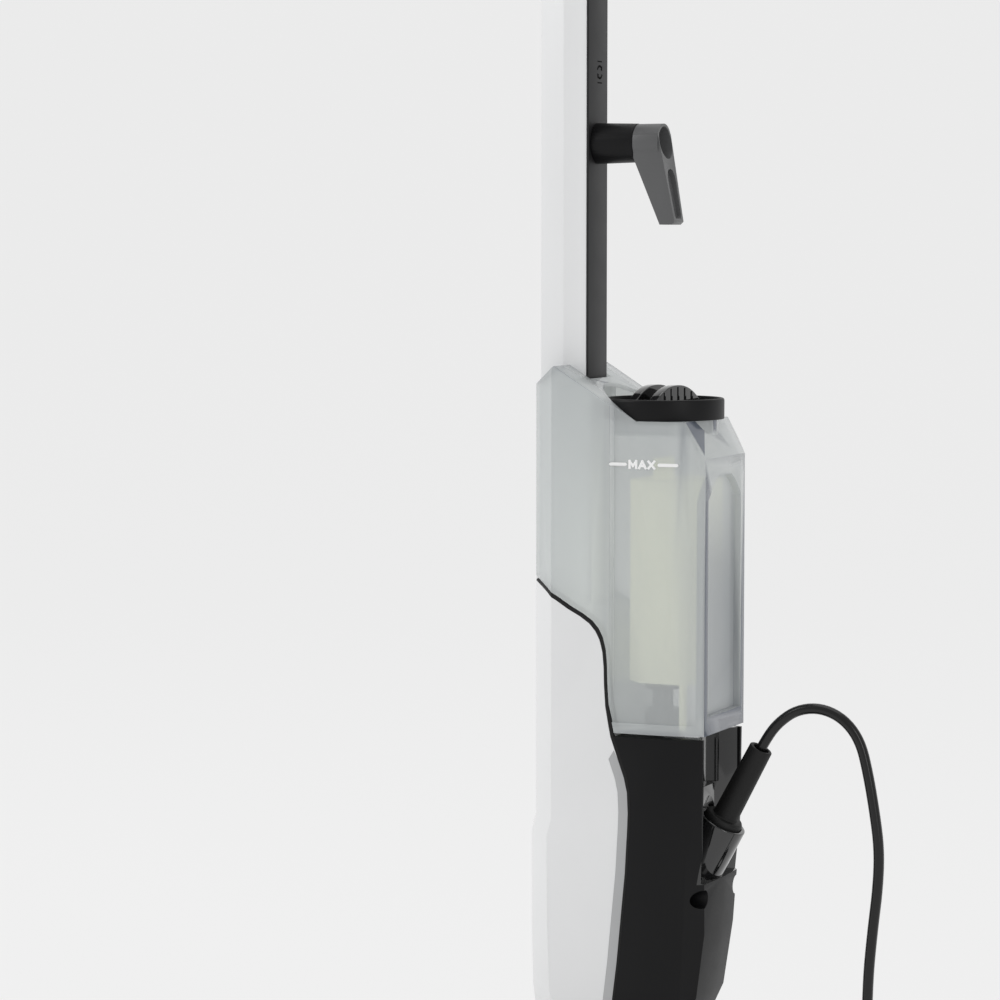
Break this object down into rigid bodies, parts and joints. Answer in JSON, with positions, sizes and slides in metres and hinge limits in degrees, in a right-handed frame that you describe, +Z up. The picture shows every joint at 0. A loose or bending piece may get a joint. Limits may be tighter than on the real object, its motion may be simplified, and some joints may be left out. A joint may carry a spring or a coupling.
{
  "type": "steam mop",
  "caption": "Upright steam mop with floor nozzle, two-axis swivel, lift-off water tank, cord hooks and a trigger handle.",
  "frame": {"origin": "on the floor, under the middle of the floor nozzle", "axes": "+Z up along the parked tube, +Y to the rear where the user stands, +X to the mop's left side"},
  "size_m": [0.314, 0.4481, 1.185],
  "materials": {
    "white_plastic": "high gloss",
    "white_paint": "satin coat on drawn aluminium",
    "silver_plastic": "satin silver",
    "black_plastic": "fine spark-eroded texture",
    "gloss_black": "polished",
    "grey_plastic": "satin",
    "rubber": "soft matt",
    "cord_black": "smooth, slightly glossy sheath",
    "microfibre": "looped microfibre pile",
    "steel": "plain",
    "aluminium": "as cast",
    "brass": "nickel-plated brass",
    "tank_clear": "translucent polypropylene, smooth",
    "cream_resin": "satin",
    "board_green": "lacquered board",
    "lamp_lens": "clear lens"
  },
  "bodies": {
    "nozzle": {"floor_cloth": "microfibre", "hook_loop_strips": "grey_plastic", "nozzle_base": "black_plastic", "steam_manifold": "black_plastic", "nozzle_cover": "black_plastic", "nozzle_screws": "steel", "pitch_pin": "steel"},
    "swivel": {"knuckle": "black_plastic", "knuckle_seals": "rubber"},
    "machine": {"swivel_yoke": "black_plastic", "roll_pin": "steel", "front_shell": "white_plastic", "trim_left": "silver_plastic", "trim_right": "silver_plastic", "shell_gasket": "rubber", "rear_housing": "black_plastic", "case_screws": "steel", "cable_inlet": "gloss_black", "gland_collar": "gloss_black", "strain_relief": "rubber", "tube": "white_paint", "rear_strip": "black_plastic", "control_cable": "cord_black", "chassis": "grey_plastic", "hook_base": "black_plastic", "hook_screw": "steel", "tank_dock": "grey_plastic", "boiler": "aluminium", "thermostat": "steel", "thermal_fuse": "steel", "water_pump": "grey_plastic", "pump_mounts": "rubber", "control_board": "board_green", "safety_valve": "brass", "intake_hose": "rubber", "pressure_hose": "rubber", "steam_pipe": "rubber", "handle_front": "white_plastic", "handle_rear": "black_plastic", "trigger_pin": "steel", "trigger_switch": "black_plastic", "ready_lamp": "lamp_lens", "upper_hook": "black_plastic", "cord_run": "cord_black", "cord_coil": "cord_black", "cord_tie": "cord_black", "cord_tail": "cord_black", "plug": "cord_black", "plug_pins": "brass"},
    "hook": {"hook_lever": "grey_plastic"},
    "tank": {"tank_body": "tank_clear", "valve_seat": "grey_plastic", "valve_spring": "steel", "scale_cartridge": "cream_resin"},
    "cap": {"cap_ring": "black_plastic", "cap_seal": "rubber", "cap_grip": "gloss_black"},
    "poppet": {"valve_poppet": "grey_plastic"},
    "trigger": {"steam_trigger": "grey_plastic"},
    "slider": {"steam_slider": "grey_plastic"}
  },
  "joints": [
    {"name": "head_pitch", "type": "hinge", "parent": "nozzle", "child": "swivel", "pos_m": [0, 0, 0.052], "axis": [-1, 0, 0], "range_deg": [0, 60]},
    {"name": "head_roll", "type": "hinge", "parent": "swivel", "child": "machine", "pos_m": [0, 0, 0.084], "axis": [0, 1, 0], "range_deg": [-30, 30]},
    {"name": "hook_turn", "type": "hinge", "parent": "machine", "child": "hook", "pos_m": [0, 0, 0.7237], "axis": [0, 1, 0], "range_deg": [0, 180]},
    {"name": "tank_lift", "type": "slide", "parent": "machine", "child": "tank", "axis": [0, 0, 1], "range_m": [0, 0.08]},
    {"name": "cap_turn", "type": "hinge", "parent": "tank", "child": "cap", "pos_m": [0, 0.028, 0.55], "axis": [0, 0, -1], "range_deg": [0, 90]},
    {"name": "poppet_lift", "type": "slide", "parent": "tank", "child": "poppet", "axis": [0, 0, 1], "range_m": [0, 0.003], "stiffness_N_per_m": 200, "deforming": ["valve_spring"]},
    {"name": "trigger_pull", "type": "hinge", "parent": "machine", "child": "trigger", "pos_m": [0, -0.02, 1.104], "axis": [-1, 0, 0], "range_deg": [0, 8], "stiffness_Nm_per_rad": 0.6},
    {"name": "steam_level", "type": "slide", "parent": "machine", "child": "slider", "axis": [0, 0, 1], "range_m": [0, 0.012]}
  ]
}
